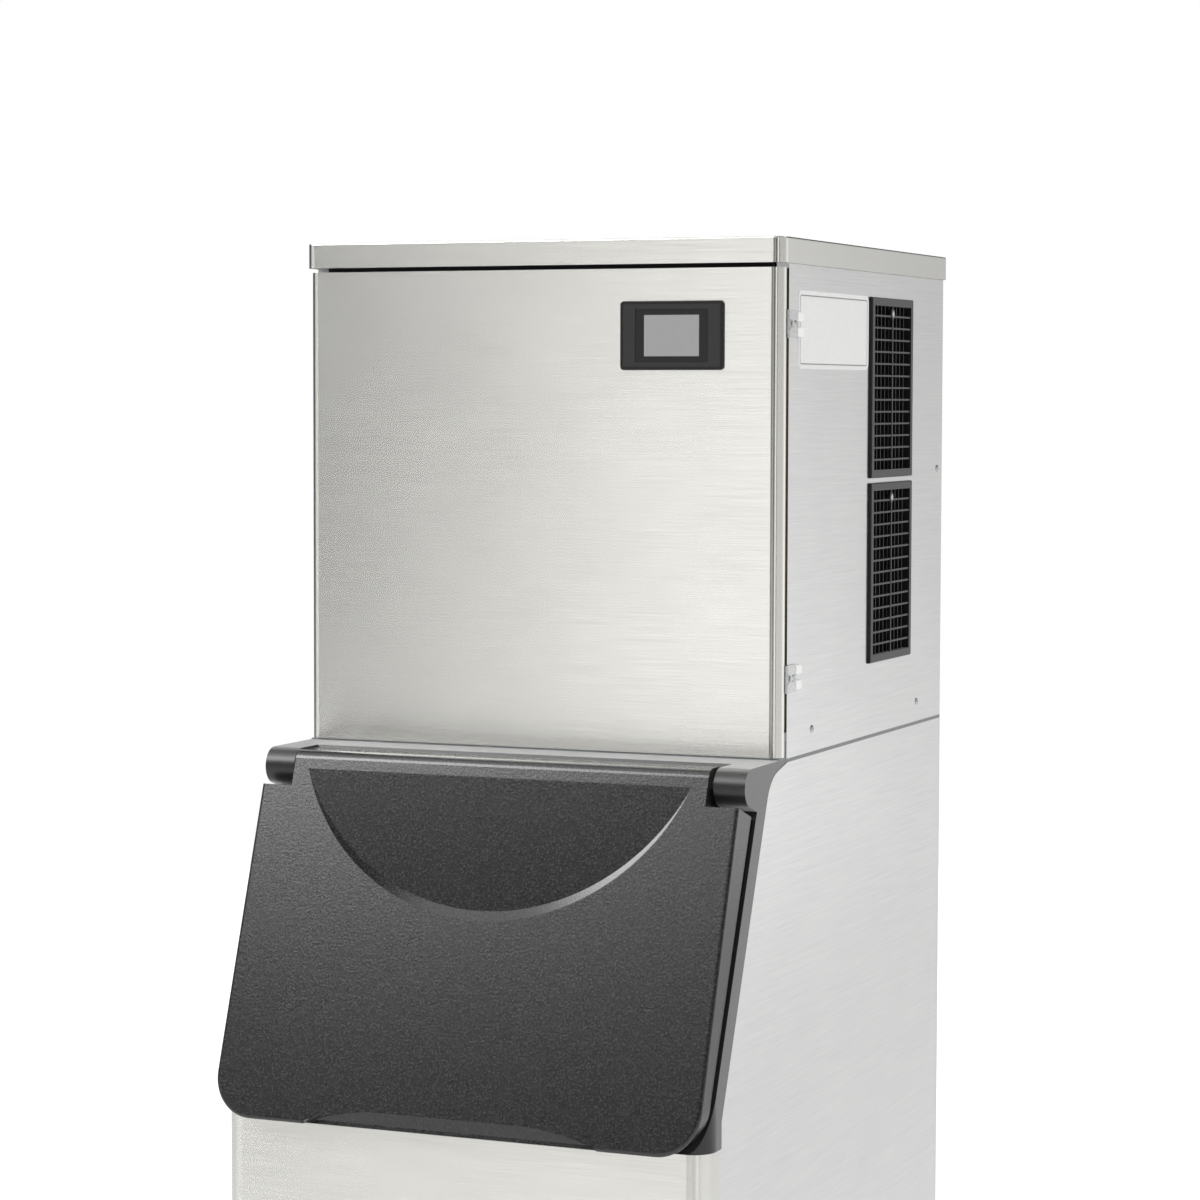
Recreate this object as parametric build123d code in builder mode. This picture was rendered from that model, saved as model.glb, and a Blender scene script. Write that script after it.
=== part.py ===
from build123d import *
import os
from math import cos, radians, sin, tan

# Modular cube ice machine: an ice-making head seated on its storage bin.
# The origin is on the floor under the middle of the machine: +X to its right, +Y to its back, +Z up.
os.makedirs("parts", exist_ok=True)

# Whole machine
width = 560.0
head_depth = 580.0
head_height = 555.0
bin_top = 980.0
lid_overhang = 3.0
half = width / 2
sheet = 1.0

# Bin cabinet
skin = 1.2
liner_wall = 3.0
foam_wall = 38.0
leg_height = 144.0
base_thick = 6.0
lower_front = -205.0
corner_radius = 25.0
return_depth = 30.0
cabinet_bottom = leg_height + base_thick - bin_top
cavity_half = half - skin - foam_wall - liner_wall
cavity_back = 535.0
cavity_front = -160.0
cavity_floor = -770.0
floor_fall = 14.0
cavity_corner = 40.0
floor_corner = 20.0
rim_thick = 4.0

# Sloping door frame, seen from the side
frame_slope = tan(radians(22.8))
frame_front_top = -49.0
frame_back_top = -21.0
frame_bottom = -382.0
frame_heel = -354.0
frame_heel_y = -169.5
frame_rear = 25.0
rail_lip = 2.5
shoulder = (-27.6, -15.9)
shoulder_radius = 45.0
opening_top = -45.0
opening_bottom = -345.0
opening_half = 232.0
opening_corner = 28.0

# Hinge of the bin door
pivot = (-86.0, -20.0)
lug_radius = 20.0
lug_inner = 245.0
hollow_radius = 27.5
lug_root = 3.0
lug_heel_z = -46.7
bin_pin_radius = 5.0
pin_seat = 18.0
pin_reach = 14.0
running_gap = 0.05

# Bin door
face_slope_angle = 19.2
face_top = -105.6
door_half = 277.5
gap_top = 5.0
gap_bottom = 1.5
door_bottom = -381.5
door_corner = 45.0
notch_half = 241.0
notch_below_pivot = 27.2
barrel_back = -72.0
barrel_round = 13.0
dish_radius = 238.8
dish_bottom = 175.0
dish_depth = 6.0
dish_bevel = 13.0
face_edge = 4.0

# The door's lower edge reaches furthest forward and the lid furthest back: the origin is midway
door_reach = (-face_top - tan(radians(face_slope_angle)) * (door_bottom + face_edge)
              - face_edge / cos(radians(face_slope_angle)) + face_edge)
head_front = (door_reach - head_depth - lid_overhang) / 2

# Ice-making head
lid_height = 27.4
door_depth = 14.0
panel_start = 22.0
bend_radius = 12.0
head_door_bottom = 2.0
head_door_top = 522.8
head_axis = (half, 18.0)
knuckle_radius = 3.0
knuckle_height = 30.0
head_hinges_z = (463.0, 85.0)

# Side grilles
grille_y = (298.0, 452.0)
grille_z = ((82.0, 288.0), (293.5, 499.5))
grille_band = 7.0
bar_thick = 2.0
bars = 13
louvres = 9


def at(dy, dz):
    """Side-view point, dy behind the head's front plane and dz above the bin's top edge."""
    return (head_front + dy, bin_top + dz)


def spot(x, dy, dz):
    """The same point in space, at x across the machine."""
    return (x, head_front + dy, bin_top + dz)


def block(x, dy, dz, mode=Mode.ADD):
    """Box between low and high limits in x, in depth behind the head front and in height over the bin top."""
    with Locations(spot(x[0], dy[0], dz[0])):
        Box(x[1] - x[0], dy[1] - dy[0], dz[1] - dz[0], align=(Align.MIN,) * 3, mode=mode)


def rod(centre, radius, length, axis=(0, 0, 1), mode=Mode.ADD):
    """Round bar that starts at a centre point and runs along an axis."""
    with Locations(Plane(origin=spot(*centre), z_dir=axis)):
        Cylinder(radius, length, align=(Align.CENTER, Align.CENTER, Align.MIN), mode=mode)


def finish(piece, name):
    """Label one piece and write it."""
    piece.part.label = name
    export_step(piece.part, f"parts/{name}.step")


def frame_front(dz):
    """Depth of the door frame's front face at a height."""
    return frame_front_top + frame_slope * dz


def frame_back(dz):
    """Depth of the door frame's back face at a height."""
    return frame_back_top + frame_slope * dz


def door_back(dz):
    """Depth of the bin door's inner face at a height: the gap to the frame narrows downwards."""
    return frame_front(dz) - gap_top + (gap_top - gap_bottom) * dz / frame_bottom


def door_face(dz):
    """Depth of the bin door's outer face at a height."""
    return face_top + tan(radians(face_slope_angle)) * dz


# Bin cabinet

# Door frame: one black moulding with two cheeks, a top rail, a sill and the two hinge lugs
lug_tip = (pivot[0] - lug_radius * sin(radians(face_slope_angle)),
           pivot[1] - lug_radius * cos(radians(face_slope_angle)))
ahead = Plane.XZ.offset(-head_front + 250)
with BuildPart() as bin_door_frame:
    with BuildSketch(Plane.YZ):
        with BuildLine():
            Polyline(at(frame_rear, -rail_lip), at(frame_rear, 0), at(frame_front(0), 0),
                     at(frame_front(frame_bottom), frame_bottom), at(frame_heel_y, frame_bottom),
                     at(frame_heel_y, frame_heel))
            FilletPolyline(at(frame_heel_y, frame_heel), at(*shoulder), at(frame_rear, -rail_lip),
                           radius=shoulder_radius)
        make_face()
    extrude(amount=half, both=True)
    rod((-lug_inner, *pivot), hollow_radius, 2 * lug_inner, axis=(1, 0, 0), mode=Mode.SUBTRACT)
    for side in (-1, 1):
        with BuildSketch(Plane.YZ.offset(side * half)):
            with BuildLine():
                Line(at(frame_front(0) + lug_root, 0), at(pivot[0], 0))
                ThreePointArc(at(pivot[0], 0), at(pivot[0] - lug_radius, pivot[1]), at(*lug_tip))
                Polyline(at(*lug_tip), at(frame_front(lug_heel_z), lug_heel_z),
                         at(frame_back(lug_heel_z), lug_heel_z), at(frame_front(0) + lug_root, 0))
            make_face()
        extrude(amount=-side * (half - lug_inner))
    with BuildSketch(ahead):
        with Locations((0, bin_top + (opening_top + opening_bottom) / 2)):
            RectangleRounded(2 * opening_half, opening_top - opening_bottom, opening_corner)
    extrude(amount=-300, mode=Mode.SUBTRACT)
    for side in (-1, 1):
        rod((side * lug_inner, *pivot), bin_pin_radius, pin_seat, axis=(side, 0, 0), mode=Mode.SUBTRACT)
    with BuildPart(mode=Mode.PRIVATE) as corner_prism:
        block((-half, half), (frame_front(frame_bottom), 2 * frame_rear), (frame_bottom, lug_radius))
        fillet(corner_prism.edges().filter_by(Axis.Z).sort_by(Axis.Y)[:2], corner_radius)
    add(corner_prism.part, mode=Mode.INTERSECT)
finish(bin_door_frame, "bin_door_frame")

# Hinge pins of the bin door, one in each lug
with BuildPart() as bin_hinge_pins:
    for side in (-1, 1):
        rod((side * (notch_half - pin_reach), *pivot), bin_pin_radius,
            lug_inner - notch_half + pin_reach + pin_seat, axis=(side, 0, 0))
finish(bin_hinge_pins, "bin_hinge_pins")

# Liner: deep moulded tub with a rounded floor, a rim that the head rests on and the door opening
cavity_lip = 40.0
cavity_step = -400.0
cavity_heel = frame_back(opening_bottom) + 2 * liner_wall
cavity = [at(cavity_lip, 0), at(frame_back(opening_top) + liner_wall, opening_top),
          at(cavity_heel, opening_bottom), at(cavity_front, cavity_step),
          at(cavity_front, cavity_floor + floor_fall), at(cavity_back, cavity_floor), at(cavity_back, 0)]
with BuildPart() as tub_space:
    with BuildSketch(Plane.YZ):
        with BuildLine():
            Polyline(*cavity, close=True)
        make_face()
    extrude(amount=cavity_half, both=True)
    fillet(tub_space.edges().filter_by(Axis.Z).sort_by(Axis.Y)[-2:], cavity_corner)
    fillet(tub_space.edges().filter_by(Axis.X).sort_by(Axis.Z)[:2], floor_corner)
with BuildPart() as tub_body:
    with BuildSketch(Plane.YZ):
        with BuildLine():
            Polyline(*cavity, close=True)
        make_face()
        offset(amount=liner_wall, kind=Kind.INTERSECTION)
    extrude(amount=cavity_half + liner_wall, both=True)
    fillet(tub_body.edges().filter_by(Axis.Z).sort_by(Axis.Y)[-2:], cavity_corner + liner_wall)
    fillet(tub_body.edges().filter_by(Axis.X).sort_by(Axis.Z)[:2], floor_corner + liner_wall)
    block((-half, half), (-400, head_depth), (-rim_thick, 20), mode=Mode.SUBTRACT)
drain_z = cavity_floor + 44
drain_start = 500.0
drain_body = 19.0
drain_flange = 22.0
with BuildPart() as bin_liner:
    add(tub_body.part)
    block((-half, half), (frame_rear, head_depth), (-rim_thick, 0))
    add(tub_space.part, mode=Mode.SUBTRACT)
    with BuildSketch(ahead):
        with Locations((0, bin_top + (opening_top + opening_bottom) / 2)):
            RectangleRounded(2 * opening_half, opening_top - opening_bottom, opening_corner)
    extrude(amount=-420, mode=Mode.SUBTRACT)
    add(bin_door_frame.part, mode=Mode.SUBTRACT)
    rod((0, drain_start, drain_z), drain_body, 120, axis=(0, 1, 0), mode=Mode.SUBTRACT)
finish(bin_liner, "bin_liner")

# Insulation boards between the liner and the steel skins: two sides, rear, floor and front
board_seam = 0.5
board_half = cavity_half + liner_wall
inner_half = board_half - board_seam
board_rear = cavity_back + liner_wall
board_front = cavity_front - liner_wall
with BuildPart() as bin_foam:
    for side in (-1, 1):
        with BuildSketch(Plane.YZ.offset(side * board_half)):
            with BuildLine():
                Polyline(at(frame_rear, -rim_thick), at(head_depth - skin, -rim_thick),
                         at(head_depth - skin, cabinet_bottom), at(lower_front + skin, cabinet_bottom),
                         at(lower_front + skin, frame_bottom), at(frame_heel_y, frame_bottom),
                         at(frame_heel_y, frame_heel))
                FilletPolyline(at(frame_heel_y, frame_heel), at(*shoulder), at(frame_rear, -rim_thick),
                               radius=shoulder_radius)
            make_face()
        extrude(amount=side * foam_wall)
    for end in (0, -1):
        front_edges = bin_foam.edges().filter_by(Axis.Z).group_by(Axis.Y)[0]
        fillet(front_edges.sort_by(Axis.X)[end], corner_radius - skin)
    add(bin_door_frame.part, mode=Mode.SUBTRACT)
    block((-inner_half, inner_half), (board_rear, head_depth - skin), (cabinet_bottom, -rim_thick))
    rod((0, drain_start, drain_z), drain_body, 120, axis=(0, 1, 0), mode=Mode.SUBTRACT)
    block((-inner_half, inner_half), (lower_front + skin, board_front - board_seam),
          (cabinet_bottom, frame_bottom))
    with BuildSketch(Plane.YZ):
        with BuildLine():
            Polyline(at(board_front, cabinet_bottom), at(board_rear - board_seam, cabinet_bottom),
                     at(board_rear - board_seam, cavity_floor - liner_wall - board_seam),
                     at(board_front, cavity_floor + floor_fall - liner_wall - board_seam), close=True)
        make_face()
    extrude(amount=inner_half, both=True)
finish(bin_foam, "bin_foam")

# Side skins: brushed sheet cut to the slope of the door frame
for side, name in ((-1, "bin_left_panel"), (1, "bin_right_panel")):
    with BuildPart() as bin_panel:
        with BuildSketch(Plane.YZ.offset(side * half)):
            with BuildLine():
                Polyline(at(frame_rear, -rim_thick), at(head_depth - skin, -rim_thick),
                         at(head_depth - skin, cabinet_bottom),
                         at(lower_front + return_depth, cabinet_bottom),
                         at(lower_front + return_depth, frame_bottom), at(frame_heel_y, frame_bottom),
                         at(frame_heel_y, frame_heel))
                FilletPolyline(at(frame_heel_y, frame_heel), at(*shoulder), at(frame_rear, -rim_thick),
                               radius=shoulder_radius)
            make_face()
        extrude(amount=-side * skin)
        add(bin_door_frame.part, mode=Mode.SUBTRACT)
    finish(bin_panel, name)

# Lower front skin: one sheet bent round both front corners
with BuildPart() as bin_front_panel:
    block((-half, half), (lower_front, lower_front + return_depth), (cabinet_bottom, frame_bottom))
    fillet(bin_front_panel.edges().filter_by(Axis.Z).sort_by(Axis.Y)[:2], corner_radius)
    with BuildPart(mode=Mode.PRIVATE) as front_inside:
        block((-half + skin, half - skin), (lower_front + skin, 0), (cabinet_bottom, frame_bottom))
        fillet(front_inside.edges().filter_by(Axis.Z).sort_by(Axis.Y)[:2], corner_radius - skin)
    add(front_inside.part, mode=Mode.SUBTRACT)
finish(bin_front_panel, "bin_front_panel")

# Rear skin, with the drain passage
with BuildPart() as bin_rear_panel:
    block((-half, half), (head_depth - skin, head_depth), (cabinet_bottom, -rim_thick))
    rod((0, drain_start, drain_z), drain_body, 120, axis=(0, 1, 0), mode=Mode.SUBTRACT)
finish(bin_rear_panel, "bin_rear_panel")

# Base tray with a rib round its edge
base_inset = 6.0
with BuildPart() as bin_base:
    block((-half + base_inset, half - base_inset),
          (lower_front + base_inset, head_depth - base_inset),
          (cabinet_bottom - base_thick, cabinet_bottom))
    fillet(bin_base.edges().filter_by(Axis.Z), corner_radius - base_inset)
    chamfer(bin_base.faces().sort_by(Axis.Z)[0].edges(), base_thick / 2.4)
finish(bin_base, "bin_base")

# Four legs, each a flanged socket, a tube and a flared foot
leg_x = 220.0
leg_y = (-145.0, 515.0)
leg_profile = ((24, 0), (24, 7), (15, 16), (15, 36), (21, 36), (21, 128), (30, 136), (30, leg_height))
with BuildPart() as bin_legs:
    for dy in leg_y:
        for x in (-leg_x, leg_x):
            with BuildSketch(Plane.XZ.offset(-head_front - dy)):
                with BuildLine():
                    Polyline((x, 0), *[(x + radius, z) for radius, z in leg_profile], (x, leg_height), (x, 0))
                make_face()
            revolve(axis=Axis((x, head_front + dy, 0), (0, 0, 1)))
finish(bin_legs, "bin_legs")

# Drain: threaded outlet in the rear wall and a domed strainer inside the tub
drain_bore = 13.0
drain_wall = 4.0
drain_mouth = (0, cavity_back - drain_wall, drain_z)
with BuildPart() as bin_drain:
    rod(drain_mouth, drain_body, head_depth - cavity_back + drain_wall, axis=(0, 1, 0))
    rod(drain_mouth, drain_flange, drain_wall, axis=(0, 1, 0))
    rod(drain_mouth, drain_bore, 80, axis=(0, 1, 0), mode=Mode.SUBTRACT)
finish(bin_drain, "bin_drain")

dome_length = 10.0
dome_wall = 2.5
dome_start = cavity_back - drain_wall - dome_length
with BuildPart() as drain_strainer:
    rod((0, dome_start, drain_z), drain_bore + 3, dome_length, axis=(0, 1, 0))
    fillet(drain_strainer.edges().filter_by(GeomType.CIRCLE).sort_by(Axis.Y)[0], 6)
    rod((0, dome_start + dome_wall, drain_z), drain_bore - 1.5, dome_length, axis=(0, 1, 0),
        mode=Mode.SUBTRACT)
    with Locations(Plane(origin=spot(0, dome_start, drain_z), z_dir=(0, 1, 0))):
        with PolarLocations(drain_bore / 2, 6):
            Cylinder(2, 4 * dome_wall, mode=Mode.SUBTRACT)
finish(drain_strainer, "drain_strainer")

# Bin door

# Outer shell: a wedge with a barrel-shaped top edge, notched round the lugs
face = Plane(origin=spot(0, door_face(0), 0), x_dir=(1, 0, 0),
             z_dir=(0, -cos(radians(face_slope_angle)), sin(radians(face_slope_angle))))


def on_face(up, out):
    """Side-view point, a distance up the bin door's outer face and a distance out of it."""
    place = (face * Location((0, up, out))).position
    return (place.Y, place.Z)


notch_top = at(pivot[0] - notch_below_pivot * sin(radians(face_slope_angle)),
               pivot[1] - notch_below_pivot * cos(radians(face_slope_angle)))
along = (cos(radians(face_slope_angle)), -sin(radians(face_slope_angle)))

with BuildPart() as dish:
    with Locations(face * Location((0, dish_radius - dish_bottom, -dish_depth))):
        Cone(dish_radius - dish_bevel, dish_radius, dish_depth, align=(Align.CENTER, Align.CENTER, Align.MIN))
    with BuildSketch(Plane.YZ):
        with BuildLine():
            Polyline(on_face(-20, 0.01),
                     on_face(-dish_bottom - 5, 0.01),
                     on_face(-dish_bottom - 5, -dish_depth),
                     close=True)
        make_face()
    extrude(amount=half, both=True, mode=Mode.INTERSECT)

grip_half = 168.0
grip_slope = 16.0
grip_top = -384.5
with BuildPart() as grip:
    with BuildSketch(Plane.YZ):
        with BuildLine():
            Polyline(on_face(grip_top, 0),
                     on_face(grip_top - 12, -9),
                     on_face(grip_top - 40, -9),
                     on_face(grip_top - 40, 9),
                     on_face(grip_top, 9), close=True)
        make_face()
    extrude(amount=grip_half, both=True)
    with BuildSketch(face):
        with BuildLine():
            Polyline((-grip_half, grip_top - 40), (-grip_half, grip_top - grip_slope))
            Spline((-grip_half, grip_top - grip_slope), (-grip_half * 0.6, grip_top - 1),
                   (0, grip_top), (grip_half * 0.6, grip_top - 1), (grip_half, grip_top - grip_slope))
            Polyline((grip_half, grip_top - grip_slope), (grip_half, grip_top - 40),
                     (-grip_half, grip_top - 40))
        make_face()
    extrude(amount=30, both=True, mode=Mode.INTERSECT)

pocket_front = 11.0
pocket_top = -62.0
pocket_bottom = -358.0
pocket_half = 262.0
lining = 3.0
with BuildPart() as door_pocket:
    with BuildSketch(Plane.YZ):
        with BuildLine():
            Polyline(at(door_face(pocket_top) + pocket_front, pocket_top),
                     at(door_back(pocket_top), pocket_top),
                     at(door_back(pocket_bottom), pocket_bottom),
                     at(door_face(pocket_bottom) + pocket_front, pocket_bottom), close=True)
        make_face()
    extrude(amount=pocket_half, both=True)

with BuildPart() as bin_door_shell:
    with BuildSketch(Plane.YZ):
        with BuildLine():
            Polyline(at(door_face(door_bottom), door_bottom), at(door_face(0), 0), at(barrel_back, 0),
                     at(door_back(pivot[1]), pivot[1]), at(door_back(door_bottom), door_bottom),
                     close=True)
        make_face()
    extrude(amount=door_half, both=True)
    fillet(bin_door_shell.edges().filter_by(Axis.X).sort_by(Axis.Z)[-3:], barrel_round)
    fillet(bin_door_shell.edges().filter_by(Axis.Y).sort_by(Axis.Z)[:2], door_corner)
    outer_face = bin_door_shell.faces().filter_by(face)[0]
    fillet(outer_face.edges().filter_by(Axis.X).sort_by(Axis.Z)[0], face_edge)
    for side in (-1, 1):
        with BuildSketch(Plane.YZ.offset(side * notch_half)):
            with BuildLine():
                Polyline((notch_top[0] - 60 * along[0], notch_top[1] - 60 * along[1]),
                         (notch_top[0] + 90 * along[0], notch_top[1] + 90 * along[1]),
                         (notch_top[0] + 90 * along[0], notch_top[1] + 200),
                         (notch_top[0] - 60 * along[0], notch_top[1] + 200), close=True)
            make_face()
        extrude(amount=side * 60, mode=Mode.SUBTRACT)
    add(dish.part, mode=Mode.SUBTRACT)
    add(grip.part, mode=Mode.SUBTRACT)
    add(door_pocket.part, mode=Mode.SUBTRACT)
    for side in (-1, 1):
        rod((side * (notch_half - pin_reach - 2), *pivot), bin_pin_radius + running_gap, 30,
            axis=(side, 0, 0), mode=Mode.SUBTRACT)
finish(bin_door_shell, "bin_door_shell")

# Foam core and inner lining that closes the shell's back
with BuildPart() as bin_door_lining:
    add(door_pocket.part)
    add(door_pocket.part.moved(Location((0, -lining, 0))), mode=Mode.SUBTRACT)
finish(bin_door_lining, "bin_door_lining")

with BuildPart() as bin_door_core:
    add(door_pocket.part)
    add(door_pocket.part.moved(Location((0, -lining, 0))), mode=Mode.INTERSECT)
finish(bin_door_core, "bin_door_core")

# Ice-making head

# Base pan: floor, low side walls, a lip under the front door and the drop opening over the bin
pan_wall = 1.5
pan_front = 16.0
pan_height = 28.0
drop_x = (-250.0, 30.0)
drop_y = (42.0, 232.0)
seal = 3.0
with BuildPart() as head_base:
    block((-half + sheet, half - sheet), (pan_front, head_depth - sheet), (0, pan_height))
    for low, high in ((-1, seal), (seal + pan_wall, pan_height + 1)):
        block((-half + sheet + pan_wall, half - sheet - pan_wall),
              (pan_front + pan_wall, head_depth - sheet - pan_wall), (low, high), mode=Mode.SUBTRACT)
    block((-half + sheet, half - sheet), (1, pan_front + pan_wall), (0, pan_wall))
    block(drop_x, drop_y, (-5, 20), mode=Mode.SUBTRACT)
finish(head_base, "head_base")

# Foam strip that seals the head to the bin's rim
seal_inset = 8.0
seal_clear = 2.0
with BuildPart() as head_seal:
    block((-half + seal_inset, half - seal_inset), (frame_rear + seal_clear, head_depth - seal_inset),
          (0, seal))
    block((-cavity_half - seal_clear, cavity_half + seal_clear),
          (cavity_lip + seal_clear, cavity_back + seal_clear), (-1, seal + 1), mode=Mode.SUBTRACT)
finish(head_seal, "head_seal")

# Side panels with folded top flanges; the right one is cut out behind the two grilles
panel_top = head_height - sheet
flange = 14.0
for side, name in ((-1, "head_left_panel"), (1, "head_right_panel")):
    with BuildPart() as head_panel:
        folded = sorted((side * half, side * (half - flange)))
        block(sorted((side * half, side * (half - sheet))), (panel_start, head_depth), (0, panel_top))
        block(folded, (panel_start, head_depth), (panel_top - sheet, panel_top))
        block(folded, (panel_start, panel_start + sheet), (pan_height + 2, panel_top))
        if side == 1:
            for low, high in grille_z:
                block((half - flange, half + 1), (grille_y[0] + grille_band, grille_y[1] - grille_band),
                      (low + grille_band, high - grille_band), mode=Mode.SUBTRACT)
    finish(head_panel, name)

# Rear panel with a louvred outlet for the warm air and round openings for the services
service_z = 60.0
inlet_x, cable_x = (20.0, 190.0)
service_hole = 14.0
drain_hole = 8.0
sump_drain = (-245.0, 62.0)
outlet_x = (-230.0, -70.0)
outlet_z = (300.0, 500.0)
slots = 10
slot_height = 8.0
head_half = half - sheet
with BuildPart() as head_rear_panel:
    block((-head_half, head_half), (head_depth - sheet, head_depth), (0, panel_top - sheet))
    for x in (inlet_x, cable_x):
        rod((x, head_depth - 5, service_z), service_hole, 20, axis=(0, 1, 0), mode=Mode.SUBTRACT)
    rod((sump_drain[0], head_depth - 5, sump_drain[1]), drain_hole, 20, axis=(0, 1, 0), mode=Mode.SUBTRACT)
    with BuildSketch(Plane.XZ.offset(-head_front - head_depth - 5)):
        with Locations((sum(outlet_x) / 2, bin_top + sum(outlet_z) / 2)):
            with GridLocations(0, (outlet_z[1] - outlet_z[0]) / slots, 1, slots):
                SlotOverall(outlet_x[1] - outlet_x[0], slot_height)
    extrude(amount=20, mode=Mode.SUBTRACT)
finish(head_rear_panel, "head_rear_panel")

# Lid: shallow folded cover that overhangs the cabinet on all sides
with BuildPart() as head_lid:
    block((-half - lid_overhang, half + lid_overhang), (-lid_overhang, head_depth + lid_overhang),
          (head_height - lid_height, head_height))
    fillet(head_lid.edges().filter_by(Axis.Z).sort_by(Axis.Y)[:2], bend_radius)
    fillet(head_lid.edges().filter_by(Axis.Z).sort_by(Axis.Y)[-2:], lid_overhang)
    fillet(head_lid.faces().sort_by(Axis.Z)[-1].edges(), 2)
    with BuildPart(mode=Mode.PRIVATE) as lid_inside:
        block((-half - lid_overhang + sheet, half + lid_overhang - sheet),
              (-lid_overhang + sheet, head_depth + lid_overhang - sheet),
              (head_height - lid_height - 1, head_height - sheet))
        fillet(lid_inside.edges().filter_by(Axis.Z).sort_by(Axis.Y)[:2], bend_radius - sheet)
    add(lid_inside.part, mode=Mode.SUBTRACT)
finish(head_lid, "head_lid")

# Grilles: a raised frame with fine crossbars, a centre bar and slanting louvres behind them
grille_depth = 12.0
grille_wall = 1.5
clear = 0.5
centre_bar = 3.0
boss_radius = 6.0
boss_height = 2.6
boss_drop = 18.0
screw_radius = 1.8
slat_half = 4.0
bar_pitch = (grille_z[0][1] - grille_z[0][0] - 2 * grille_band) / (bars + 1)
inner_y = (grille_y[0] + grille_band, grille_y[1] - grille_band)
middle_y = sum(grille_y) / 2
louvre_pitch = (inner_y[1] - inner_y[0]) / (louvres + 1)
for (low, high), name in zip(grille_z, ("lower_grille", "upper_grille")):
    with BuildPart() as grille:
        block((half, half + lid_overhang), grille_y, (low, high))
        chamfer(grille.faces().sort_by(Axis.X)[-1].edges(), 1.2)
        for inset, start, stop, mode in ((clear, half - grille_depth, half, Mode.ADD),
                                         (clear + grille_wall, half - flange, half + 10, Mode.SUBTRACT)):
            block((start, stop), (inner_y[0] + inset, inner_y[1] - inset),
                  (low + grille_band + inset, high - grille_band - inset), mode=mode)
        for bar in range(1, bars + 1):
            z = low + grille_band + bar * bar_pitch
            block((half, half + 2), inner_y, (z - bar_thick / 2, z + bar_thick / 2))
        block((half, half + 2.4), (middle_y - centre_bar / 2, middle_y + centre_bar / 2), (low + 3, high - 3))
        rod((half, middle_y, high - boss_drop), boss_radius, boss_height, axis=(1, 0, 0))
        for slat in range(1, louvres + 1):
            y = head_front + inner_y[0] + slat * louvre_pitch
            with BuildSketch(Plane.XY.offset(bin_top + low + grille_band + 1)):
                with BuildLine():
                    Polyline((half - grille_wall, y - slat_half), (half - grille_wall, y - slat_half + 1.5),
                             (half - grille_depth + clear, y + slat_half),
                             (half - grille_depth + clear, y + slat_half - 1.5), close=True)
                make_face()
            extrude(amount=high - low - 2 * grille_band - 2)
        rod((half - grille_depth - 3, middle_y, high - boss_drop), screw_radius, 30, axis=(1, 0, 0),
            mode=Mode.SUBTRACT)
    finish(grille, name)

# Grille screws and panel screws with round heads
with BuildPart() as grille_screws:
    for low, high in grille_z:
        rod((half - 8, middle_y, high - boss_drop), screw_radius, 8 + boss_height, axis=(1, 0, 0))
        rod((half + boss_height, middle_y, high - boss_drop), 3.4, lid_overhang - boss_height, axis=(1, 0, 0))
finish(grille_screws, "grille_screws")

screw_spots = ((103.7, 25.0), (484.4, 23.5), (560.0, 300.0))
with BuildPart() as panel_screws:
    for side in (-1, 1):
        for dy, dz in screw_spots:
            rod((side * half, dy, dz), 4, 1.6, axis=(side, 0, 0))
    fillet(panel_screws.faces().filter_by(Axis.X).group_by(Axis.X)[0].edges(), 0.8)
    fillet(panel_screws.faces().filter_by(Axis.X).group_by(Axis.X)[-1].edges(), 0.8)
finish(panel_screws, "panel_screws")

# Front door of the head: a folded steel pan with an insulating pad inside
with BuildPart() as head_door_pan:
    block((-half, half), (0, door_depth), (head_door_bottom, head_door_top))
    fillet(head_door_pan.edges().filter_by(Axis.Z).sort_by(Axis.Y)[:2], bend_radius)
    with BuildPart(mode=Mode.PRIVATE) as pan_inside:
        block((-half + sheet, half - sheet), (sheet, door_depth + 1),
              (head_door_bottom + sheet, head_door_top - sheet))
        fillet(pan_inside.edges().filter_by(Axis.Z).sort_by(Axis.Y)[:2], bend_radius - sheet)
    add(pan_inside.part, mode=Mode.SUBTRACT)
finish(head_door_pan, "head_door_pan")

with BuildPart() as head_door_pad:
    block((-266, 266), (sheet, 12), (10, 514))
    chamfer(head_door_pad.faces().sort_by(Axis.Y)[-1].edges(), 3)
finish(head_door_pad, "head_door_pad")

# Display: a bezel with a sunk window, and the glass in it
bezel_x = (96.6, 215.0)
bezel_z = (414.2, 488.0)
screen_x = (119.0, 192.7)
screen_z = (427.5, 474.4)
border = 5.0
sunk = 1.2
fit = 0.3
with BuildPart() as display_bezel:
    block(bezel_x, (-lid_overhang, 0), bezel_z)
    fillet(display_bezel.edges().filter_by(Axis.Y), 4)
    fillet(display_bezel.faces().sort_by(Axis.Y)[0].edges(), 1)
    block((screen_x[0] - border, screen_x[1] + border), (-lid_overhang - 1, -lid_overhang + sunk),
          (screen_z[0] - border, screen_z[1] + border), mode=Mode.SUBTRACT)
finish(display_bezel, "display_bezel")

with BuildPart() as display_screen:
    block((screen_x[0] - border + fit, screen_x[1] + border - fit),
          (-lid_overhang + sunk / 3, -lid_overhang + sunk),
          (screen_z[0] - border + fit, screen_z[1] + border - fit))
    fillet(display_screen.edges().filter_by(Axis.Y), 1.5)
finish(display_screen, "display_screen")

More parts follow.
